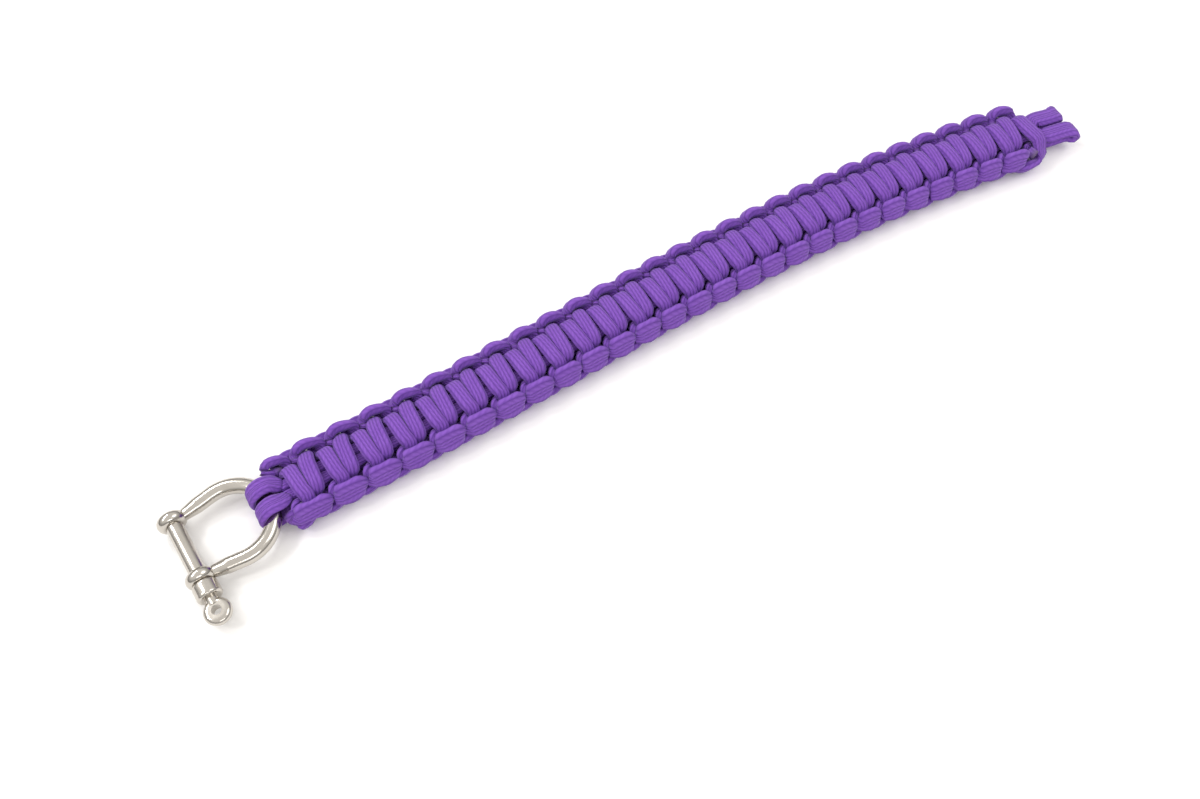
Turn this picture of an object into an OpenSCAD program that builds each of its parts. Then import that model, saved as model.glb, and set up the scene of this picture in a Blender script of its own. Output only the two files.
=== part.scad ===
// Paracord bracelet in cobra weave, lying open, with a bow shackle as its clasp.
// X runs along the strap from the shackle to the end loops, Y across it, Z up.
// The origin is on the surface below the middle of the whole bracelet.

/* [Cord] */
// Width of one cord where the knots squeeze it
cord_w = 2.7; // [2.5:0.1:3.2]
// Play between two cords that press on each other
cord_play = 0.15; // [0.14:0.02:0.3]
// Thickness of the flattened cord in the core and the loops
flat_t = 1.8; // [1.6:0.1:2]
// Width of the flattened cord round the bow
flat_w = 4.2; // [3.6:0.1:4.4]

/* [Knots] */
// Number of half knots
half_knots = 55; // [7:2:59]
// Step from one half knot to the next at the shackle, in cord widths
step_first_ratio = 1.86; // [1.5:0.01:2]
// The same step along the tight part of the strap, in cord widths
step_tight_ratio = 1.44; // [1.38:0.01:1.6]
// The same step at the far end, in cord widths
step_last_ratio = 1.53; // [1.38:0.01:1.7]

/* [Lie of the strap] */
// Sideways bulge at mid length
bulge = 6.3; // [0:0.1:8]
// Extra sideways swing, first one way and then the other
sway = 2.8; // [0:0.1:4]
// Degrees by which the shackle and the cords round it are turned sideways
head_turn = 4; // [0:0.5:8]

/* [End loops] */
// How far the far loop stands out past the last half knot
loop_far_out = 14.7; // [10:0.1:20]
// How far the near loop stands out past the last half knot
loop_near_out = 16.4; // [10:0.1:20]
// Width of the flattened cord in the end loops
loop_w = 5.4; // [4:0.1:6]

/* [Shackle bow] */
// Diameter of the bow's bar
bar_d = 4.2; // [4:0.1:4.8]
// Radius of the bow's bar line
bow_r = 10.3; // [8.6:0.1:12]
// From the middle of the bar at the crown to the pin's axis
bow_len = 23.1; // [22:0.1:32]
// Diameter of the bar at its neck, next to the ear
neck_d = 3; // [2.6:0.1:3.6]
// Width between the ears
ear_gap = 14.4; // [12:0.1:16]
// Thickness of an ear
ear_t = 3.4; // [2.8:0.1:4]
// Diameter of an ear
ear_d = 7.8; // [7.4:0.1:9.8]

/* [Shackle pin] */
// Diameter of the pin
pin_d = 4.4; // [3.6:0.1:4.8]
// Play round the pin in its two ears
pin_play = 0.06; // [0.04:0.01:0.1]
// Diameter of the collar outside the near ear
collar_d = 6.6; // [5.8:0.1:7.4]
// Length of the collar
collar_len = 4.4; // [2.6:0.1:5]
// Length of the neck between the collar and the eye
eye_neck = 0.4; // [0:0.1:2]
// Diameter of the pin's eye
eye_d = 7.2; // [6:0.1:8]
// Thickness of the pin's eye
eye_t = 2.8; // [2.2:0.1:3.4]
// Diameter of the hole in the eye
eye_hole_d = 2.6; // [1.8:0.1:3]

/* [Hidden] */

// One half knot as the middle line of its cord, from the middle of one crossing to the next.
// The cord crosses, goes down inside, comes out under the edge and climbs back up outside.
// along: in steps from this crossing, out: from the strap's middle line, up: from its mid
// height, both in cord widths.
// [along, out, up]
half_knot = [
    [ 0.20, 0.00,  1.31],
    [ 0.10, 1.25,  1.05],
    [-0.08, 1.60,  0.35],
    [-0.32, 2.00, -0.50],
    [-0.20, 2.75, -1.00],
    [ 0.20, 3.25, -1.05],
    [ 0.65, 3.30, -0.75],
    [ 1.05, 2.95, -0.25],
    [ 1.37, 2.40,  0.35],
    [ 1.42, 1.75,  0.90],
    [ 1.30, 1.05,  1.25]
];
// Each weaving cord starts tucked in beside the first half knot and joins it at first_row.
// It leaves the last half knot after last_row and ends there, cut and melted.
tucked_start = [0.05, 2.45, -0.75];
first_row = 5;
last_row = 3;
melted_end = [-0.27, 2.45, -0.85];
// The first crossing lies this far behind the bow's crown, in radii of the turn round the bow
first_crossing = 0.45;
// The core's cords spread again this many steps past the last half knot
core_spread_steps = 0.75;

// Tube facets, and rings along the core loops
cord_sides = 6;
wrap_steps = 8;
bight_steps = 4;
leg_steps = 11;
curve_fn = 64;

// What a woven cord measures, and what the weave measures from its middle line
strand_d = cord_w - cord_play;
strand_flat_d = strand_d * sin(60);
outermost_row = 6;
innermost_row = 2;
weave_half_t = half_knot[0][2] * cord_w + strand_flat_d / 2;
weave_half_w = half_knot[outermost_row][1] * cord_w + strand_d / 2;

// Inside the knots the core's two cords lie side by side, each loop with one leg on the other
core_w = half_knot[innermost_row][1] * cord_w - strand_d / 2 - 2 * cord_play;
leg_z = (flat_t + cord_play) / 2;

// The cord goes round the bow with room for the curved bar to swing in it: the bar falls back
// by bar_drop across one cord's width, and the turn gives way by this share of it
swing_share = 0.8;
bar_drop = bow_r - sqrt(bow_r * bow_r - flat_w * flat_w);
wrap_r = bar_d / 2 + swing_share * bar_drop + cord_play + flat_t / 2;

// Heights over the surface on which the bracelet lies
mid_z = max(weave_half_t, wrap_r + flat_t / 2);
shackle_tilt = asin((mid_z - ear_d / 2) / bow_len);

// Stations along the strap, from the bow's crown: the steps shrink to the tight one and grow a
// little again to the far end
first_x = first_crossing * wrap_r;
function station(k) =
    let (t = k / half_knots, u = 1 - t, quarter = half_knots / 4)
    first_x + cord_w * (step_tight_ratio * k
        + (step_first_ratio - step_tight_ratio) * quarter * (1 - u * abs(u) * u * u)
        + (step_last_ratio - step_tight_ratio) * quarter * t * abs(t) * t * t);
strap_end = station(half_knots) + max(loop_far_out, loop_near_out);

// The strap's middle line, seen from above. Behind the bow it fades back from the head's turn.
head_fade = 12;
function head_y(x) =
    let (past = max(0, x - wrap_r))
    tan(head_turn) * (min(x, wrap_r) + past * exp(-past / head_fade));
function lie_y(x) =
    let (u = max(0, min(1, x / strap_end)))
    4 * bulge * u * (1 - u) - 8 * sway * u * (1 - u) * (1 - 2 * u) + head_y(x);
function lie_angle(x) = atan2(lie_y(x + 1) - lie_y(x - 1), 2);
function lay(p) =
    let (a = lie_angle(p[0]))
    [p[0] - p[1] * sin(a), lie_y(p[0]) + p[1] * cos(a), p[2]];

// The origin: the middle of the whole, on the surface
ear_out = ear_gap / 2 + ear_t;
eye_y = ear_out + pin_play + collar_len + eye_neck + eye_d / 2;
ear_y = (ear_gap + ear_t) / 2;
lie_top = max([for (i = [0:40]) lie_y(strap_end * i / 40)]);
shackle_x = bow_len * cos(shackle_tilt) * cos(head_turn) + ear_y * sin(head_turn) + ear_d / 2;
shackle_y = bow_len * cos(shackle_tilt) * sin(head_turn) + eye_y * cos(head_turn) + eye_d / 2;
middle = [(strap_end - shackle_x) / 2, (lie_top + weave_half_w - shackle_y) / 2];

// Tubes: flat rings of points, joined by side faces
function unit(v) = v / norm(v);
function ring(p, along, up, w, t) =
    let (x = unit(cross(along, up)), z = cross(x, along))
    [for (i = [0:cord_sides - 1])
        let (a = 360 * i / cord_sides)
        p + x * (w / 2 * cos(a)) + z * (t / 2 * sin(a) / sin(60))];
function heading(route, i, closed) =
    let (
        n = len(route),
        back = closed || i > 0 ? unit(route[i] - route[(i + n - 1) % n]) : [0, 0, 0],
        ahead = closed || i < n - 1 ? unit(route[(i + 1) % n] - route[i]) : [0, 0, 0]
    )
    unit(back + ahead);
function sides(count, closed) =
    [for (i = [0:count - (closed ? 1 : 2)], j = [0:cord_sides - 1], upper = [false, true])
        let (a = i * cord_sides, b = ((i + 1) % count) * cord_sides, k = (j + 1) % cord_sides)
        upper ? [a + j, a + k, b + k] : [a + j, b + k, b + j]];
function caps(count) =
    [[for (j = [cord_sides - 1:-1:0]) j],
     [for (j = [0:cord_sides - 1]) (count - 1) * cord_sides + j]];
module tube(rings, closed) {
    polyhedron(
        points = [for (r = rings, p = r) p],
        faces = closed ? sides(len(rings), true) : concat(sides(len(rings), false), caps(len(rings))),
        convexity = 20
    );
}

// Puts a piece that is modelled from the bow's crown and the strap's mid height in place
module in_place() {
    translate([-middle[0], -middle[1], mid_z]) children();
}

// The weaving cords: the bottom one is the top one turned half round the strap's middle line
function row_point(k, row) =
    let (side = k % 2 == 0 ? -1 : 1)
    [station(k + row[0]), side * row[1] * cord_w, row[2] * cord_w];
cord_route = concat(
    [row_point(0, tucked_start)],
    [for (k = [0:half_knots])
        for (r = [(k == 0 ? first_row : 0):(k == half_knots ? last_row : len(half_knot) - 1)])
            row_point(k, half_knot[r])],
    [row_point(half_knots, melted_end)]
);
module weaving_cord(turn) {
    route = [for (p = cord_route) lay([p[0], turn * p[1], turn * p[2]])];
    rings = [for (i = [0:len(route) - 1])
        ring(route[i], heading(route, i, false), [0, turn * cord_route[i][1], turn * cord_route[i][2]],
             strand_d, strand_flat_d)];
    in_place() tube(rings, false);
}
module weave_top_strand() {
    color("mediumpurple") weaving_cord(1);
}
module weave_bottom_strand() {
    color("rebeccapurple") weaving_cord(-1);
}

// A core loop is a closed ring: round the bow, along the core, and back at the far end.
// Its upper half, from the bow to the end of the bight, is mirrored for the lower one.
// How it closes in behind the bow. x: from the crown in radii of the turn round the bow,
// height and width: the share that is left of what the core takes away.
// [x, height, width]
closing_in = [
    [0.46, 0.83, 1.00],
    [0.87, 0.36, 0.60],
    [1.22, 0.06, 0.20],
    [1.58, 0.00, 0.00]
];
core_start = closing_in[3][0] * wrap_r;
core_end = station(half_knots + core_spread_steps);
function bight_x(out) = station(half_knots) + out - leg_z - flat_t / 2;
function loop_upper_half(out) = concat(
    [for (i = [0:wrap_steps / 2])
        let (a = 180 - 180 * i / wrap_steps)
        [wrap_r * cos(a), wrap_r * sin(a), flat_w]],
    [for (r = closing_in)
        [r[0] * wrap_r, leg_z + (wrap_r - leg_z) * r[1], core_w + (flat_w - core_w) * r[2]]],
    [for (i = [1:leg_steps]) [core_start + (core_end - core_start) * i / leg_steps, leg_z, core_w]],
    [[core_end + cord_w, leg_z, loop_w]],
    [for (i = [0:bight_steps / 2])
        let (a = 90 - 180 * i / bight_steps)
        [bight_x(out) + leg_z * cos(a), leg_z * sin(a), loop_w]]
);
function loop_rows(out) =
    let (upper = loop_upper_half(out), n = len(upper))
    concat(upper, [for (i = [n - 2:-1:1]) [upper[i][0], -upper[i][1], upper[i][2]]]);
module core_loop(side, out) {
    rows = loop_rows(out);
    route = [for (r = rows) lay([r[0], side * (r[2] + cord_play) / 2, r[1]])];
    rings = [for (i = [0:len(rows) - 1])
        let (
            along = heading(route, i, true),
            a = lie_angle(rows[i][0])
        )
        ring(route[i], along, cross([-sin(a), cos(a), 0], along), rows[i][2], flat_t)];
    in_place() tube(rings, true);
}
module core_loop_far() {
    color("darkorchid") core_loop(1, loop_far_out);
}
module core_loop_near() {
    color("mediumorchid") core_loop(-1, loop_near_out);
}

// The shackle lies with its ears on the surface and its crown in the cord loops
module on_the_shackle() {
    in_place() rotate([0, -shackle_tilt, head_turn]) children();
}
module along_the_pin(y, length, d) {
    translate([-bow_len, y, 0]) rotate([90, 0, 0]) cylinder(h = length, d = d, $fn = curve_fn);
}

// The bow: a round crown, two legs that taper to their necks, and two rounded ears
// Each leg ends inside its ear, this share of the ear's diameter from the pin's axis and this
// far inside the ear's outer face
leg_end = 0.36;
leg_inset = 0.15;
leg_x = bow_len - leg_end * ear_d;
leg_y = ear_out - neck_d / 2 - leg_inset;
leg_reach = norm([leg_x - bow_r, leg_y]);
leg_flare = asin(bow_r / leg_reach) - atan2(leg_y, leg_x - bow_r);
leg_len = sqrt(leg_reach * leg_reach - bow_r * bow_r);
// The leg starts this far inside the crown's bar, and is thinner than the bar by leg_step
leg_lead = 0.6;
leg_step = 0.06;
module bow_crown() {
    translate([-bow_r, 0, 0]) rotate([0, 0, -90 - leg_flare])
        rotate_extrude(angle = 180 + 2 * leg_flare, $fn = 2 * curve_fn)
            translate([bow_r, 0]) circle(d = bar_d, $fn = curve_fn);
}
module bow_leg(side) {
    translate([-bow_r - bow_r * sin(leg_flare), side * bow_r * cos(leg_flare), 0])
        rotate([0, 0, side * (180 + leg_flare)]) rotate([0, 90, 0])
            rotate_extrude($fn = curve_fn)
                polygon([
                    [0, -leg_lead],
                    [(bar_d - leg_step) / 2, -leg_lead],
                    [(bar_d - leg_step) / 2, leg_len / 2],
                    [neck_d / 2, leg_len],
                    [0, leg_len]
                ]);
}
module bow_ear(side) {
    translate([-bow_len, side * ear_y, 0]) rotate([90, 0, 0])
        rotate_extrude($fn = curve_fn) {
            translate([0, -ear_t / 2]) square([ear_d / 2 - ear_t / 2, ear_t]);
            intersection() {
                translate([ear_d / 2 - ear_t / 2, 0]) circle(d = ear_t, $fn = curve_fn);
                translate([0, -ear_t]) square([ear_d, 2 * ear_t]);
            }
        }
}
module shackle_bow() {
    color("silver") on_the_shackle() difference() {
        union() {
            bow_crown();
            for (side = [-1, 1]) bow_leg(side);
            for (side = [-1, 1]) bow_ear(side);
        }
        along_the_pin(ear_out + ear_t, 2 * (ear_out + ear_t), pin_d + 2 * pin_play);
    }
}

// The pin: its shank through both ears, a collar, and an eye to turn it by
collar_y = ear_out + pin_play + collar_len / 2;
collar_round = 0.8;
eye_neck_d = 1.2 * eye_t;
module pin_collar() {
    translate([-bow_len, -collar_y, 0]) rotate([90, 0, 0])
        rotate_extrude($fn = curve_fn) {
            translate([0, -collar_len / 2]) square([collar_d / 2 - collar_round, collar_len]);
            translate([0, collar_round - collar_len / 2])
                square([collar_d / 2, collar_len - 2 * collar_round]);
            for (end = [-1, 1])
                translate([collar_d / 2 - collar_round, end * (collar_len / 2 - collar_round)])
                    circle(r = collar_round, $fn = curve_fn);
        }
}
module pin_eye() {
    translate([-bow_len, -eye_y, 0])
        rotate_extrude($fn = curve_fn) {
            translate([0, -eye_t / 2]) square([(eye_d - eye_t) / 2, eye_t]);
            translate([(eye_d - eye_t) / 2, 0]) circle(d = eye_t, $fn = curve_fn);
        }
}
module shackle_pin() {
    color("gainsboro") on_the_shackle() difference() {
        union() {
            along_the_pin(ear_out, ear_out + collar_y, pin_d);
            pin_collar();
            along_the_pin(-collar_y, eye_y - eye_d / 4 - collar_y, eye_neck_d);
            pin_eye();
        }
        translate([-bow_len, -eye_y, -eye_t])
            cylinder(h = 2 * eye_t, d = eye_hole_d, $fn = curve_fn);
    }
}

weave_top_strand();
weave_bottom_strand();
core_loop_far();
core_loop_near();
shackle_bow();
shackle_pin();
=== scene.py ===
"""The looks of the paracord bracelet: snug braided cords, a polished shackle, floor, light, camera."""

import math

import bpy
import numpy as np
from mathutils import Matrix, Vector


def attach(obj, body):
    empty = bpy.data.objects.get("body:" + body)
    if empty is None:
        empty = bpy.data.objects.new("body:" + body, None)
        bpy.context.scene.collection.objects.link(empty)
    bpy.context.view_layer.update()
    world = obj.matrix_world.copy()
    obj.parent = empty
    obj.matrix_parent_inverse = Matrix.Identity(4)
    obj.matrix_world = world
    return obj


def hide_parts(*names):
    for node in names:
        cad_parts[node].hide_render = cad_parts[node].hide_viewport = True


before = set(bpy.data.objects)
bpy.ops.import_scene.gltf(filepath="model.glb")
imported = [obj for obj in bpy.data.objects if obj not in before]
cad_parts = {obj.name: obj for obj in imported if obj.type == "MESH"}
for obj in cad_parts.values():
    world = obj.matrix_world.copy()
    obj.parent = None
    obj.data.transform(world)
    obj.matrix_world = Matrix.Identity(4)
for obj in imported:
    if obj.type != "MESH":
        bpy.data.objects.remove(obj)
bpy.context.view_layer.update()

MM = 0.001

# Sizes in millimetres and degrees, the same as in the part's source
CORD_W = 2.7
CORD_PLAY = 0.15
FLAT_T = 1.8
FLAT_W = 4.2
HALF_KNOTS = 55
STEP_FIRST_RATIO = 1.86
STEP_TIGHT_RATIO = 1.44
STEP_LAST_RATIO = 1.53
BULGE = 6.3
SWAY = 2.8
HEAD_TURN = math.radians(4)
HEAD_FADE = 12
LOOP_FAR_OUT = 14.7
LOOP_NEAR_OUT = 16.4
BAR_D = 4.2
BOW_R = 10.3
BOW_LEN = 23.1
EAR_GAP = 14.4
EAR_T = 3.4
EAR_D = 7.8
PIN_PLAY = 0.06
COLLAR_LEN = 4.4
EYE_NECK = 0.4
EYE_D = 7.2
FIRST_CROSSING = 0.45
CORE_SPREAD_STEPS = 0.75
SWING_SHARE = 0.8

# One half knot of a weaving cord, from the middle of one crossing to the next.
# along: steps from this crossing; out and up: cord widths from the strap's middle line;
# width and thick: the cord's natural section there, in mm; lean: where its flat side faces,
# in degrees from up (0) through outward (90) to down (180)
# [along, out, up, width, thick, lean]
HALF_KNOT = (
    (0.20, 0.00, 1.31, 4.9, 2.6, 0),
    (0.12, 1.25, 1.05, 4.7, 2.6, 25),
    (-0.02, 1.60, 0.35, 4.4, 2.5, 75),
    (-0.14, 2.00, -0.45, 4.8, 2.1, 108),
    (-0.20, 2.85, -0.85, 6.9, 2.1, 118),
    (0.15, 3.28, -0.88, 6.9, 2.6, 118),
    (0.60, 3.32, -0.76, 6.9, 2.6, 116),
    (1.06, 3.12, -0.50, 6.9, 2.1, 114),
    (1.24, 2.45, 0.15, 5.2, 2.1, 80),
    (1.34, 1.75, 0.90, 4.6, 2.6, 25),
    (1.26, 1.05, 1.25, 4.9, 2.6, 8),
)
# The row that reaches furthest out
WIDEST_ROW = 6
# The row at which the edge bar starts. The first half knot has only the rows from here on.
BAR_START = 4
# The last row of the half knot that is begun after the last crossing
LAST_ROW = 3

# Rows of the same columns: a cord's start, hidden under its first bar, and its melted end
HIDDEN_START = (1.00, 2.40, 0.15, 4.2, 3.2, 118)
TUCKED_START = (0.45, 2.50, 0.15, 4.6, 3.4, 118)
TURNED_START = (0.26, 2.40, -0.15, 4.2, 2.4, 118)
MELTED_END = (0.30, 2.95, 0.10, 4.4, 3.0, 100)

# What single bars do differently, with one value for each row of HALF_KNOT.
# How much the row belongs to the bar along the edge
BAR_SHARE = (0, 0, 0.2, 0.6, 1, 1, 1, 1, 0.5, 0.1, 0)
# The bottom cord's own heights, in cord widths: its bars lie flat against the edges
BOTTOM_UP = (1.31, 1.05, 0.35, -0.10, -0.42, -0.60, -0.60, -0.44, 0.08, 0.90, 1.25)
# The bottom cord's near bars are squarer: further along, in steps, and out, in cord widths
NEAR_ALONG = (0, 0, 0.05, 0.10, -0.02, -0.02, 0, 0.06, 0.02, 0, 0)
NEAR_OUT = (0, 0, 0, -0.15, 0.15, -0.12, -0.18, 0, 0.10, 0, 0)
# The bottom cord's first near bar starts earlier, in steps
FIRST_BAR_LEAD = (0, 0, 0, 0.25, 0.35, 0.25, 0.10, 0, 0, 0, 0)
# Both cords' first bars start later, clear of the bow's swing, and the top cord's later still
START_LAG = (0, 0, 0, 0, 0.36, 0.20, 0.05, 0, 0, 0, 0)
TOP_START_LAG = (0, 0, 0, 0, 0.22, 0.22, 0, 0, 0, 0, 0)
# The top cord's last near bar reaches further round the end, in steps
END_REACH = (0, 0, 0, 0, 0, 0.10, 0.30, 0.45, 0.40, 0.30, 0.15)

# For a row that belongs wholly to a bar. The bottom cord's near bars lie lower by this many cord
# widths, and are wider by this many mm.
BAR_DROP = 0.16
BAR_GROWTH = 2.0
# The top cord's bars are tucked in and sunk below them, in cord widths, on each edge
NEAR_TUCK = 0.40
FAR_TUCK = -0.12
NEAR_SINK = 0.30
FAR_SINK = 0.10
# Mm that a late start takes from the cord's width, for each step that it is late
START_SLIMMING = 8
# Rows with less than this share of a bar lie over the core. There every second gap between two
# crossings is wider, by this share of a step at each crossing.
OVER_CORE = 0.3
SLIT = 0.13

# How a core loop closes in behind the bow. x: in radii of its turn round the bow; height and
# width: the share that is left of what the core takes away
# [x, height, width]
CLOSING_IN = (
    (0.46, 0.83, 1.00),
    (0.87, 0.36, 0.60),
    (1.22, 0.06, 0.20),
    (1.58, 0.00, 0.00),
)
# The natural widths of the core's cord, in mm: round the bow, inside the knots, in the end loops
WRAP_LOOK_W = 5.8
CORE_LOOK_W = 3.2
STUB_LOOK_W = 5.7
STUB_TIP_W = 6.8
# Its natural thickness, in mm: round the bow, until just past the first row of CLOSING_IN, and
# elsewhere
WRAP_LOOK_T = 1.6
CORE_LOOK_T = 2.1
JUST_PAST = 0.1
# Steps of the half turn round the bow, rows of a leg inside the knots, angles of the tip's rows
WRAP_STEPS = 8
LEG_STEPS = 11
TIP_ANGLES = (math.pi / 4, 0.0)
# The end loop is straight until this far before its tip's turn, in mm
TIP_RUN = 1.5

# A six-sided strand from corner to corner, and from flat to flat
STRAND_D = CORD_W - CORD_PLAY
STRAND_FLAT_D = STRAND_D * math.sin(math.radians(60))
# How far the bow's bar leaves its crown within the loops' width
BOW_DROP = BOW_R - math.sqrt(BOW_R**2 - FLAT_W**2)
# The loops' turn round the bow
WRAP_R = BAR_D / 2 + SWING_SHARE * BOW_DROP + CORD_PLAY + FLAT_T / 2
# The height of the strap's middle line, the first crossing, and a leg's height from the middle
MID_Z = max(HALF_KNOT[0][2] * CORD_W + STRAND_FLAT_D / 2, WRAP_R + FLAT_T / 2)
FIRST_X = FIRST_CROSSING * WRAP_R
LEG_Z = (FLAT_T + CORD_PLAY) / 2


# Where things lie

def station(k):
    """Where crossing k lies, in mm from the bow's crown along the strap."""
    t = k / HALF_KNOTS
    u = 1 - t
    first = (STEP_FIRST_RATIO - STEP_TIGHT_RATIO) * HALF_KNOTS / 4 * (1 - u * abs(u) * u * u)
    last = (STEP_LAST_RATIO - STEP_TIGHT_RATIO) * HALF_KNOTS / 4 * t * abs(t) * t * t
    return FIRST_X + CORD_W * (STEP_TIGHT_RATIO * k + first + last)


STRAP_END = station(HALF_KNOTS) + max(LOOP_FAR_OUT, LOOP_NEAR_OUT)


def lie_y(x):
    """The strap's sideways bend, with the turn of its head at the bow."""
    u = np.clip(x / STRAP_END, 0, 1)
    past = np.maximum(0, x - WRAP_R)
    head = math.tan(HEAD_TURN) * (np.minimum(x, WRAP_R) + past * np.exp(-past / HEAD_FADE))
    return 4 * BULGE * u * (1 - u) - 8 * SWAY * u * (1 - u) * (1 - 2 * u) + head


def origin_from_crown():
    """The row's origin as seen from the crown, in mm along and across the strap."""
    tilt = math.asin((MID_Z - EAR_D / 2) / BOW_LEN)
    ear_y = (EAR_GAP + EAR_T) / 2
    eye_y = EAR_GAP / 2 + EAR_T + PIN_PLAY + COLLAR_LEN + EYE_NECK + EYE_D / 2
    reach = BOW_LEN * math.cos(tilt)
    shackle_x = reach * math.cos(HEAD_TURN) + ear_y * math.sin(HEAD_TURN) + EAR_D / 2
    shackle_y = reach * math.sin(HEAD_TURN) + eye_y * math.cos(HEAD_TURN) + EYE_D / 2
    samples = 40
    top = max(lie_y(STRAP_END * i / samples) for i in range(samples + 1))
    half_w = HALF_KNOT[WIDEST_ROW][1] * CORD_W + STRAND_D / 2
    return (STRAP_END - shackle_x) / 2, (top + half_w - shackle_y) / 2


MIDDLE = origin_from_crown()


def lay(points):
    """Points by the straight strap (from the crown, mm) to their place in the row frame, in mm."""
    p = np.asarray(points, float)
    a = np.arctan2(lie_y(p[:, 0] + 1) - lie_y(p[:, 0] - 1), 2)
    return np.column_stack([
        p[:, 0] - p[:, 1] * np.sin(a) - MIDDLE[0],
        lie_y(p[:, 0]) + p[:, 1] * np.cos(a) - MIDDLE[1],
        p[:, 2] + MID_Z,
    ])


# The cords' middle lines

# Steps of a curve from one row to the next, length of a step along a cord in mm, sides of a ring
SPAN_STEPS = 12
RING_STEP = 0.8
SIDES = 28
ANGLES = 2 * np.pi * np.arange(SIDES) / SIDES
COS, SIN = np.cos(ANGLES), np.sin(ANGLES)


def smooth_curve(rows, closed):
    """A Catmull-Rom curve through rows of any columns."""
    if closed:
        r = np.vstack([rows[-1:], rows, rows[:2]])
    else:
        r = np.vstack([2 * rows[0] - rows[1], rows, 2 * rows[-1] - rows[-2]])
    t = (np.arange(SPAN_STEPS) / SPAN_STEPS)[:, None]
    spans = []
    for i in range(1, len(r) - 2):
        a, b, c, d = r[i - 1:i + 3]
        spans.append(0.5 * (2 * b + (c - a) * t + (2 * a - 5 * b + 4 * c - d) * t**2
                            + (3 * b - a - 3 * c + d) * t**3))
    spans.append(r[-2:-1])
    return np.vstack(spans)


def even_steps(rows):
    """The same curve at even steps of its first three columns' length."""
    pieces = np.linalg.norm(np.diff(rows[:, :3], axis=0), axis=1)
    length = np.concatenate([[0], np.cumsum(pieces)])
    at = np.linspace(0, length[-1], int(round(length[-1] / RING_STEP)) + 1)
    even = np.column_stack([np.interp(at, length, rows[:, c]) for c in range(rows.shape[1])])
    return even, at


def unit(v):
    """Vectors at the length 1."""
    shortest = 1e-9
    return v / np.maximum(np.linalg.norm(v, axis=-1, keepdims=True), shortest)


class Cord:
    """A cord's middle line with its natural section: points, width, thickness and flat side."""

    def __init__(self, rows, closed=False):
        curve, length_at = even_steps(smooth_curve(np.asarray(rows, float), closed))
        self.closed = closed
        self.length = length_at[-1]
        if closed:
            curve, length_at = curve[:-1], length_at[:-1]
        self.length_at = length_at
        self.points = curve[:, :3]
        self.width = curve[:, 3]
        self.thick = curve[:, 4]
        if closed:
            tangent = unit(np.roll(self.points, -1, axis=0) - np.roll(self.points, 1, axis=0))
        else:
            tangent = unit(np.gradient(self.points, axis=0))
        flat = curve[:, 5:8]
        self.flat = unit(flat - tangent * np.sum(flat * tangent, axis=1, keepdims=True))
        self.side = np.cross(tangent, self.flat)

    def directions(self):
        """The ways in which a ring's corners lie from its middle: rings by sides by x, y, z."""
        across = COS[None, :, None] * self.side[:, None]
        return across + SIN[None, :, None] * self.flat[:, None]


def bar_row(k, r, turn):
    """Row r of half knot k, with what the bars of this cord and this edge do differently."""
    along, out, up, width, thick, lean = HALF_KNOT[r]
    share = BAR_SHARE[r]
    near = (k % 2 == 0) == (turn > 0)
    if turn < 0:
        up = BOTTOM_UP[r]
    if near and turn < 0:
        up += BAR_DROP * share
        width += BAR_GROWTH * share
        along += NEAR_ALONG[r]
        out += NEAR_OUT[r]
    if turn > 0 and k == HALF_KNOTS - 1:
        along += END_REACH[r]
    elif turn > 0 and k > 0:
        out -= (NEAR_TUCK if near else FAR_TUCK) * share
        up -= (NEAR_SINK if near else FAR_SINK) * share
    if turn < 0 and k == 1:
        along -= FIRST_BAR_LEAD[r]
    if k == 0:
        along += START_LAG[r] + (TOP_START_LAG[r] if turn > 0 else 0)
        width -= START_LAG[r] * START_SLIMMING
    if share < OVER_CORE:
        crossing = k if r < BAR_START else k + 1
        along += SLIT if crossing % 2 else -SLIT
    return along, out, up, width, thick, lean


def half_knot_rows(k, turn):
    """The rows of half knot k, with the cord's hidden start or its melted end."""
    if k == 0:
        start = [HIDDEN_START, TUCKED_START, TURNED_START]
        return start + [bar_row(k, r, turn) for r in range(BAR_START, len(HALF_KNOT))]
    if k == HALF_KNOTS:
        return [bar_row(k, r, turn) for r in range(LAST_ROW + 1)] + [MELTED_END]
    return [bar_row(k, r, turn) for r in range(len(HALF_KNOT))]


def weaving_cord(turn):
    """A weaving cord; turn is 1 for the top one, -1 for the one turned half round."""
    places = []
    for k in range(HALF_KNOTS + 1):
        side = -1 if k % 2 == 0 else 1
        for along, out, up, width, thick, lean in half_knot_rows(k, turn):
            a = math.radians(lean)
            places.append((
                station(k + along), turn * side * out * CORD_W, turn * up * CORD_W,
                width, thick, 0.0, turn * side * math.sin(a), turn * math.cos(a),
            ))
    rows = np.array(places)
    rows[:, :3] = lay(rows[:, :3])
    return Cord(rows)


def wrap_profile():
    """A core loop's upper half round the bow and behind it: x, height, width, flat side's x and z."""
    profile = []
    for i in range(WRAP_STEPS // 2 + 1):
        a = math.pi - math.pi * i / WRAP_STEPS
        profile.append((WRAP_R * math.cos(a), WRAP_R * math.sin(a), WRAP_LOOK_W,
                        math.cos(a), math.sin(a)))
    for x, height, width in CLOSING_IN:
        profile.append((x * WRAP_R, LEG_Z + (WRAP_R - LEG_Z) * height,
                        CORE_LOOK_W + (WRAP_LOOK_W - CORE_LOOK_W) * width, 0.0, 1.0))
    return profile


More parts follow.
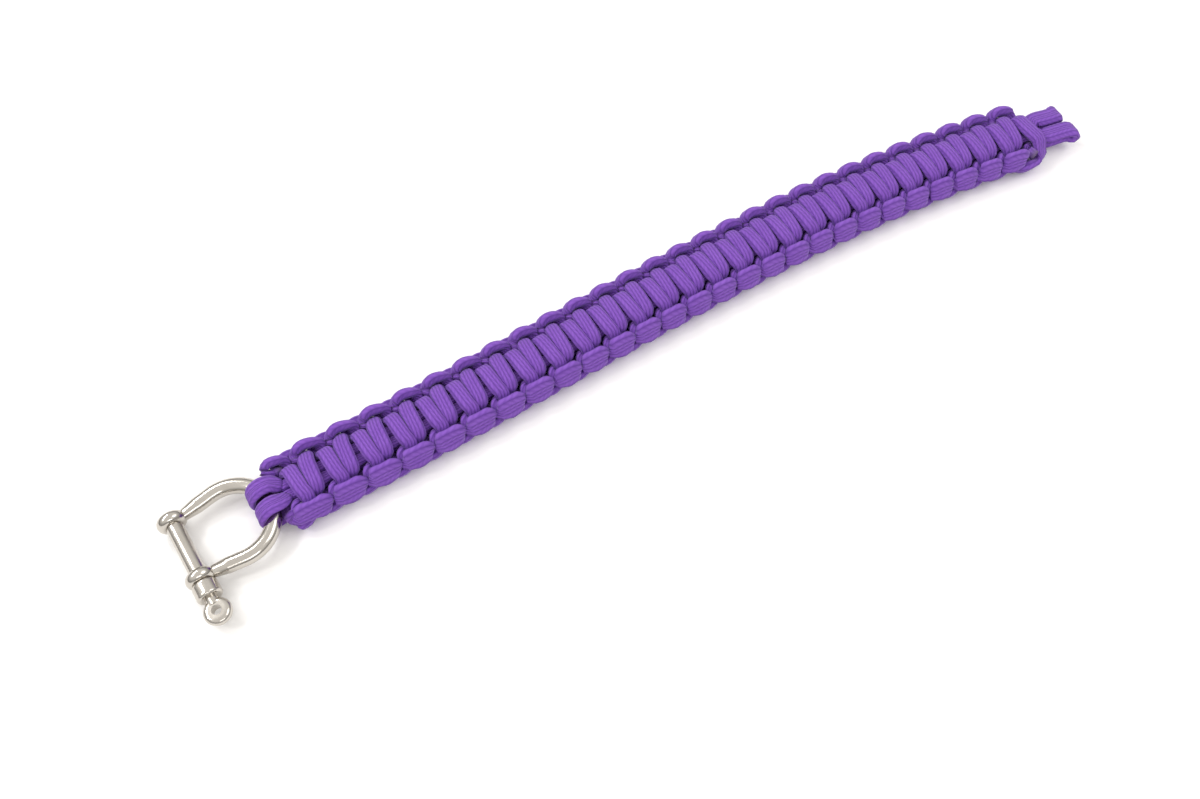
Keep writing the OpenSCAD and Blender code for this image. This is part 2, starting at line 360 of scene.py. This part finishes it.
def leg_profile(out):
    """The same for its upper leg inside the knots and for its end loop, which stands out so far."""
    start = CLOSING_IN[-1][0] * WRAP_R
    end = station(HALF_KNOTS + CORE_SPREAD_STEPS)
    tip = station(HALF_KNOTS) + out - LEG_Z - FLAT_T / 2
    profile = []
    for i in range(1, LEG_STEPS + 1):
        profile.append((start + (end - start) * i / LEG_STEPS, LEG_Z, CORE_LOOK_W, 0.0, 1.0))
    profile.append((end + CORD_W, LEG_Z, STUB_LOOK_W, 0.0, 1.0))
    profile.append((tip - TIP_RUN, LEG_Z, STUB_LOOK_W, 0.0, 1.0))
    for a in TIP_ANGLES:
        profile.append((tip + LEG_Z * math.cos(a), LEG_Z * math.sin(a), STUB_TIP_W,
                        math.cos(a), math.sin(a)))
    return profile


def core_loop(side, out):
    """A core loop; side is 1 for the far one, -1 for the near one."""
    upper = wrap_profile() + leg_profile(out)
    lower = [(x, -z, width, flat_x, -flat_z) for x, z, width, flat_x, flat_z in upper[-2:0:-1]]
    wrap_end = CLOSING_IN[0][0] * WRAP_R + JUST_PAST
    places = []
    for x, z, width, flat_x, flat_z in upper + lower:
        thick = WRAP_LOOK_T if x < wrap_end else CORE_LOOK_T
        places.append((x, side * (width + CORD_PLAY) / 2, z, width, thick, flat_x, 0.0, flat_z))
    rows = np.array(places)
    rows[:, :3] = lay(rows[:, :3])
    return Cord(rows, closed=True)


# How the cords press on each other

# Lengths in mm. Samples further off than NEAR don't press, nor do samples of the same cord that
# are nearer than OWN_SPAN along it.
NEAR = 7.5
OWN_SPAN = 1.6
# How far a cord pushes its border with another from its own middle line
CORD_HEFT = 1.7
CORE_HEFT = 1.3
# How boxy a natural section is: 2 is an ellipse
WEAVE_BOXY = 3.0
CORE_BOXY = 3.6
# A reach that nothing holds back, the least reach, and the least share of a way that counts
FAR_OFF = 50.0
LEAST_REACH = 0.3
LEAST_TOWARD = 1e-6
# A hair is left between two cords
BORDER_SHARE = 0.985
# How sharply a section bends where it is held back
SQUEEZE_POWER = 8
# A squeezed section swells in steps up to this much, evened out over its neighbours
SWELL_PASSES = 5
MOST_SWELL = 1.22
SWELL_BLUR = (0.1, 0.2, 0.4, 0.2, 0.1)
SMOOTH_PASSES = 2
# Heights below this are flattened by the surface, in mm
SOFT_H = 0.35


def pressing(cord, i, points):
    """The ways from ring i's middle to the samples that may press on it, and their squares."""
    way = points - cord.points[i]
    square = np.sum(way * way, axis=1)
    near = square < NEAR**2
    if points is cord.points:
        apart = np.abs(np.arange(len(points)) - i)
        if cord.closed:
            apart = np.minimum(apart, len(points) - apart)
        near &= apart * RING_STEP > OWN_SPAN
    return way[near], square[near]


def borders(cord, heft, others):
    """How far each ring may reach in each direction before it meets another cord."""
    limit = np.full((len(cord.points), SIDES), FAR_OFF)
    for i, directions in enumerate(cord.directions()):
        for points, other_heft in others:
            way, square = pressing(cord, i, points)
            if not len(way):
                continue
            toward = directions @ way.T
            shifted = square + heft**2 - other_heft**2
            border = shifted / (2 * np.maximum(toward, LEAST_TOWARD))
            reach = np.where(toward > LEAST_TOWARD, border, FAR_OFF)
            limit[i] = np.minimum(limit[i], np.maximum(reach.min(axis=1), LEAST_REACH))
    return limit * BORDER_SHARE


def swollen(natural, limit, area):
    """Natural sections, held back by their borders and swollen elsewhere to keep their area."""
    swell = np.ones(len(natural))
    edge = len(SWELL_BLUR) // 2
    for _ in range(SWELL_PASSES):
        squeezed = (natural * swell[:, None]) ** -SQUEEZE_POWER + limit**-SQUEEZE_POWER
        radii = squeezed ** (-1 / SQUEEZE_POWER)
        now = 0.5 * SIN[1] * np.sum(radii * np.roll(radii, -1, axis=1), axis=1)
        swell = np.clip(swell * np.sqrt(area / now), 1.0, MOST_SWELL)
        swell = np.convolve(np.pad(swell, edge, mode="edge"), SWELL_BLUR, mode="valid")
    return radii


def ring_radii(cord, heft, boxy, others):
    """How far each ring of a cord reaches in each direction, in mm."""
    wide = np.abs(COS / (cord.width[:, None] / 2)) ** boxy
    high = np.abs(SIN / (cord.thick[:, None] / 2)) ** boxy
    natural = (wide + high) ** (-1 / boxy)
    area = np.pi * cord.width * cord.thick / 4
    radii = swollen(natural, borders(cord, heft, others), area)
    for _ in range(SMOOTH_PASSES):
        radii = 0.5 * radii + 0.25 * (np.roll(radii, 1, axis=1) + np.roll(radii, -1, axis=1))
        radii[1:-1] = 0.5 * radii[1:-1] + 0.25 * (radii[:-2] + radii[2:])
    return radii


def pressed(z):
    """Heights in mm, flattened smoothly where they would go below the surface."""
    return np.where(z < SOFT_H, SOFT_H * np.exp((np.minimum(z, SOFT_H) - SOFT_H) / SOFT_H), z)


# The cords' meshes

# The cord's look changes over this length before a melted end, in mm
MELT_LEN = 1.8


def place(name, data):
    """A new object in the scene."""
    obj = bpy.data.objects.new(name, data)
    bpy.context.scene.collection.objects.link(obj)
    return obj


def tube_quads(cord):
    """The quads between the rings, and their map: u is mm along the cord, v the turn round it."""
    count = len(cord.points)
    i = np.arange(count if cord.closed else count - 1)[:, None]
    j = np.arange(SIDES)[None, :]
    here, there = i * SIDES, (i + 1) % count * SIDES
    next_j = (j + 1) % SIDES
    quads = np.stack([here + j, here + next_j, there + next_j, there + j], axis=-1)
    length_at = np.append(cord.length_at, cord.length)
    u0 = np.broadcast_to(length_at[i], (len(i), SIDES))
    u1 = np.broadcast_to(length_at[i + 1], (len(i), SIDES))
    v0 = np.broadcast_to(j / SIDES, u0.shape)
    v1 = v0 + 1 / SIDES
    corners = ((u0, v0), (u0, v1), (u1, v1), (u1, v0))
    uv = np.stack([np.stack(corner, axis=-1) for corner in corners], axis=2)
    return quads.reshape(-1, 4).tolist(), uv.reshape(-1, 2)


def mark_ends(mesh, cord):
    """How near each corner is to an end of the cord, from 0 to 1 at the end."""
    to_end = np.minimum(cord.length_at, cord.length - cord.length_at)
    melt = np.repeat(np.clip(1 - to_end / MELT_LEN, 0, 1), SIDES).astype(np.float32)
    mesh.attributes.new("melt", "FLOAT", "POINT").data.foreach_set("value", melt)


def tube(name, cord, radii):
    """A cord as a tube, with end caps where it isn't closed."""
    verts = (cord.points[:, None] + cord.directions() * radii[:, :, None]).reshape(-1, 3)
    verts[:, 2] = pressed(verts[:, 2])
    faces, uv = tube_quads(cord)
    if not cord.closed:
        last_ring = (len(cord.points) - 1) * SIDES
        faces.append(list(range(SIDES - 1, -1, -1)))
        faces.append([last_ring + j for j in range(SIDES)])
        uv = np.vstack([uv, np.zeros((2 * SIDES, 2))])
    mesh = bpy.data.meshes.new(name)
    mesh.from_pydata((verts * MM).tolist(), [], faces)
    mesh.uv_layers.new(name="cord").data.foreach_set("uv", uv.astype(np.float32).ravel())
    mesh.polygons.foreach_set("use_smooth", [True] * len(mesh.polygons))
    if not cord.closed:
        mark_ends(mesh, cord)
    return place(name, mesh)


# Material helpers

def new_material(name):
    """A new material, its node tree and its shader."""
    material = bpy.data.materials.new(name)
    material.use_nodes = True
    return material, material.node_tree, material.node_tree.nodes["Principled BSDF"]


def set_values(node, values):
    """Fixed values for a node's inputs, by name."""
    for name, value in values.items():
        node.inputs[name].default_value = value


def maths(tree, operation, first, second=None, third=None):
    """A maths node on sockets or numbers; gives its result socket."""
    node = tree.nodes.new("ShaderNodeMath")
    node.operation = operation
    for slot, value in enumerate((first, second, third)):
        if value is None:
            continue
        if isinstance(value, (int, float)):
            node.inputs[slot].default_value = value
        else:
            tree.links.new(value, node.inputs[slot])
    return node.outputs[0]


def mixed(tree, share, first, second):
    """A colour between two; each may be a socket or a colour."""
    node = tree.nodes.new("ShaderNodeMix")
    node.data_type = "RGBA"
    tree.links.new(share, node.inputs["Factor"])
    for slot, value in (("A", first), ("B", second)):
        socket = [s for s in node.inputs if s.name == slot and s.type == "RGBA"][0]
        if isinstance(value, tuple):
            socket.default_value = value
        else:
            tree.links.new(value, socket)
    return [s for s in node.outputs if s.type == "RGBA"][0]


def noise(tree, scale, detail):
    """Noise over the piece's own space, in features a metre; gives 0 to 1."""
    coordinates = tree.nodes.new("ShaderNodeTexCoord")
    node = tree.nodes.new("ShaderNodeTexNoise")
    set_values(node, {"Scale": scale, "Detail": detail})
    tree.links.new(coordinates.outputs["Object"], node.inputs["Vector"])
    return node.outputs["Fac"]


def add_bump(tree, shader, height, strength, distance):
    """Bumps on a shader's surface from a height of 0 to 1; the distance is in metres."""
    node = tree.nodes.new("ShaderNodeBump")
    set_values(node, {"Strength": strength, "Distance": distance})
    tree.links.new(height, node.inputs["Height"])
    tree.links.new(node.outputs[0], shader.inputs["Normal"])


# The braided sheath

# Ribs round the cord, and the length of one stitch in mm
RIBS = 12
STITCH = 1.5
# Colours: the ribs' tops, paler patches on them, painted shade in the grooves between ribs and
# stitches, and the melted ends
RIDGE = (0.185, 0.068, 0.415, 1)
RIDGE_PALE = (0.225, 0.092, 0.475, 1)
GROOVE_SHADE = (0.085, 0.027, 0.23, 1)
MELTED = (0.13, 0.085, 0.19, 1)
# Less than 1 makes a rib's top broader
RIB_POWER = 0.7
# The stitches' share in a rib's height, and the height of the grain on it
STITCH_H = 0.35
GRAIN_H = 0.25
# Features a metre, and detail
GRAIN = (2600, 2)
PATCHES = (240, 3)
PATCH_CONTRAST = 1.6
PATCH_SHIFT = -0.3
# Less than 1 makes a melted end's look begin more suddenly
MELT_POWER = 0.6
SHEATH_ROUGHNESS = 0.85
MELT_SMOOTHING = -0.4
SHEATH = {"Sheen Weight": 0.12, "Sheen Roughness": 0.5, "Specular IOR Level": 0.25}
SHEATH_BUMP = (0.7, 0.00022)


def braid_height(tree):
    """The sheath's height: ribs along the cord, and stitches that slant one way and the other."""
    uv = tree.nodes.new("ShaderNodeUVMap")
    uv.uv_map = "cord"
    split = tree.nodes.new("ShaderNodeSeparateXYZ")
    tree.links.new(uv.outputs[0], split.inputs[0])
    ribs = maths(tree, "MULTIPLY", split.outputs["Y"], RIBS)
    across = maths(tree, "FRACT", ribs)
    arch = maths(tree, "SINE", maths(tree, "MULTIPLY", across, math.pi))
    rib = maths(tree, "POWER", arch, RIB_POWER)
    odd = maths(tree, "FLOOR", maths(tree, "MODULO", ribs, 2))
    slant = maths(tree, "MULTIPLY_ADD", odd, -2, 1)
    stitches = maths(tree, "DIVIDE", split.outputs["X"], STITCH)
    phase = maths(tree, "MULTIPLY_ADD", across, slant, stitches)
    wave = maths(tree, "SINE", maths(tree, "MULTIPLY", phase, 2 * math.pi))
    stitch = maths(tree, "MULTIPLY_ADD", wave, 0.5, 0.5)
    stitched = maths(tree, "MULTIPLY_ADD", stitch, STITCH_H, 1 - STITCH_H)
    height = maths(tree, "MULTIPLY", rib, stitched)
    return maths(tree, "MULTIPLY_ADD", noise(tree, *GRAIN), GRAIN_H, height)


def cord_material():
    """A braided sheath with painted shade in its grooves, smooth and dull where its end is melted."""
    material, tree, shader = new_material("cord")
    height = braid_height(tree)
    patches = maths(tree, "MULTIPLY_ADD", noise(tree, *PATCHES), PATCH_CONTRAST, PATCH_SHIFT)
    ridge = mixed(tree, patches, RIDGE, RIDGE_PALE)
    # Painted shade: the colour goes darker where the braid's height is low, in its grooves
    sheath = mixed(tree, maths(tree, "MINIMUM", height, 1), GROOVE_SHADE, ridge)
    melt = tree.nodes.new("ShaderNodeAttribute")
    melt.attribute_name = "melt"
    melted = maths(tree, "POWER", melt.outputs["Fac"], MELT_POWER)
    roughness = maths(tree, "MULTIPLY_ADD", melted, MELT_SMOOTHING, SHEATH_ROUGHNESS)
    tree.links.new(mixed(tree, melted, sheath, MELTED), shader.inputs["Base Color"])
    tree.links.new(roughness, shader.inputs["Roughness"])
    set_values(shader, SHEATH)
    braid = maths(tree, "MULTIPLY", height, maths(tree, "SUBTRACT", 1, melted))
    add_bump(tree, shader, braid, *SHEATH_BUMP)
    return material


# The polished steel

STEEL_DARK = (0.50, 0.465, 0.42, 1)
STEEL_BRIGHT = (0.60, 0.57, 0.525, 1)
# Features a metre, and detail
WEAR = (420, 4)
DENTS = (300, 2)
# How much the wear changes the roughness, in all
WEAR_RANGE = 0.14
STEEL_BUMP = (0.15, 0.0001)
BOW_ROUGHNESS = 0.16
PIN_ROUGHNESS = 0.2


def steel_material(name, roughness):
    """Polished stainless steel with faint wear in its shine and its surface."""
    material, tree, shader = new_material(name)
    wear = noise(tree, *WEAR)
    worn = maths(tree, "MULTIPLY_ADD", wear, WEAR_RANGE, roughness - WEAR_RANGE / 2)
    tree.links.new(mixed(tree, wear, STEEL_DARK, STEEL_BRIGHT), shader.inputs["Base Color"])
    tree.links.new(worn, shader.inputs["Roughness"])
    set_values(shader, {"Metallic": 1})
    add_bump(tree, shader, noise(tree, *DENTS), *STEEL_BUMP)
    return material


# The pieces

def dress_cords():
    """The four cords, each pressed by all of them."""
    top, bottom = weaving_cord(1), weaving_cord(-1)
    far, near = core_loop(1, LOOP_FAR_OUT), core_loop(-1, LOOP_NEAR_OUT)
    cords = (
        ("top_strand", "weave_top_strand", top, CORD_HEFT, WEAVE_BOXY),
        ("bottom_strand", "weave_bottom_strand", bottom, CORD_HEFT, WEAVE_BOXY),
        ("far_loop", "core_loop_far", far, CORE_HEFT, CORE_BOXY),
        ("near_loop", "core_loop_near", near, CORE_HEFT, CORE_BOXY),
    )
    everything = [(cord.points, heft) for _, _, cord, heft, _ in cords]
    sheath = cord_material()
    for name, node, cord, heft, boxy in cords:
        obj = tube(name, cord, ring_radii(cord, heft, boxy, everything))
        obj.data.materials.append(sheath)
        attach(obj, "strap")
        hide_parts(node)


def dress_shackle():
    """The shackle is shown as it was built, in steel."""
    for node, roughness in (("shackle_bow", BOW_ROUGHNESS), ("shackle_pin", PIN_ROUGHNESS)):
        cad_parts[node].data.materials[0] = steel_material(node + "_steel", roughness)


# The floor and the light

# In metres: half the floor's width, and how far it lies below the bracelet
FLOOR_HALF = 3
FLOOR_DROP = 0.0001
FLOOR = {"Base Color": (0.93, 0.92, 0.91, 1), "Roughness": 0.6}
ROOM_COLOUR = (1.0, 0.98, 0.95, 1)
# The room's light at the horizon, what is added higher up, and how fast it comes
ROOM_LOW = 0.20
ROOM_MORE = 0.78
ROOM_RISE = 1.6
# Softboxes: name, place and size in metres, power in watts
SOFTBOXES = (
    ("left_box_0", (-0.75, 0.15, 0.75), (0.16, 0.16), 1.8),
    ("left_box_1", (-0.50, 0.45, 0.75), (0.16, 0.16), 1.8),
    ("left_box_2", (-0.25, 0.75, 0.75), (0.16, 0.16), 1.8),
    ("right_box", (0.55, -0.25, 0.8), (0.6, 0.45), 2.2),
    ("front_box", (-0.1, -0.8, 0.55), (0.5, 0.15), 1.0),
)


def stage_plane():
    """The floor: a plain white sheet, a hair below what lies on it."""
    corners = [(x * FLOOR_HALF, y * FLOOR_HALF, -FLOOR_DROP)
               for x, y in ((-1, -1), (1, -1), (1, 1), (-1, 1))]
    mesh = bpy.data.meshes.new("floor")
    mesh.from_pydata(corners, [], [(0, 1, 2, 3)])
    floor = place("floor", mesh)
    material, tree, shader = new_material("floor_white")
    set_values(shader, FLOOR)
    mesh.materials.append(material)


def light_room():
    """A pale room, dimmer towards the horizon."""
    world = bpy.data.worlds.new("room")
    bpy.context.scene.world = world
    world.use_nodes = True
    tree = world.node_tree
    background = tree.nodes["Background"]
    background.inputs[0].default_value = ROOM_COLOUR
    split = tree.nodes.new("ShaderNodeSeparateXYZ")
    coordinates = tree.nodes.new("ShaderNodeTexCoord")
    tree.links.new(coordinates.outputs["Generated"], split.inputs[0])
    height = maths(tree, "MINIMUM", maths(tree, "MULTIPLY", split.outputs["Z"], ROOM_RISE), 1)
    above = maths(tree, "MAXIMUM", height, 0)
    strength = maths(tree, "MULTIPLY_ADD", above, ROOM_MORE, ROOM_LOW)
    tree.links.new(strength, background.inputs[1])


def add_softboxes():
    """White area lights that face the middle of the bracelet."""
    for name, location, size, energy in SOFTBOXES:
        light = bpy.data.lights.new(name, "AREA")
        light.shape = "RECTANGLE"
        light.size, light.size_y = size
        light.energy = energy
        lamp = place(name, light)
        lamp.location = location
        lamp.rotation_euler = (-Vector(location)).to_track_quat("-Z", "Y").to_euler()


# The camera

# Its place in mm, and its view in degrees: yaw from +Y towards +X, pitch down, and roll
CAMERA_MM = (-98.0, -159.5, 300.65)
YAW, PITCH, ROLL = 26.17, 60.84, -2.65
# Its focal length in pixels of the photo, and the photo's width
FOCAL_PX = 1300
IMAGE_W = 1200
SENSOR_W = 36
CLIP_START = 0.01


def set_camera():
    """A camera that sees the bracelet as the photo does."""
    data = bpy.data.cameras.new("camera")
    data.sensor_fit = "HORIZONTAL"
    data.sensor_width = SENSOR_W
    data.lens = SENSOR_W * FOCAL_PX / IMAGE_W
    data.clip_start = CLIP_START
    camera = place("camera", data)
    bpy.context.scene.camera = camera
    yaw, pitch, roll = (math.radians(a) for a in (YAW, PITCH, ROLL))
    level = Vector((math.cos(yaw), -math.sin(yaw), 0))
    ahead = Vector((math.sin(yaw), math.cos(yaw), 0))
    forward = ahead * math.cos(pitch) - Vector((0, 0, math.sin(pitch)))
    raised = level.cross(forward)
    right = level * math.cos(roll) + raised * math.sin(roll)
    up = raised * math.cos(roll) - level * math.sin(roll)
    turn = Matrix((right, up, -forward)).transposed().to_4x4()
    camera.matrix_world = Matrix.Translation(Vector(CAMERA_MM) * MM) @ turn


dress_cords()
dress_shackle()
stage_plane()
light_room()
add_softboxes()
set_camera()
bpy.context.scene.view_settings.view_transform = "Standard"
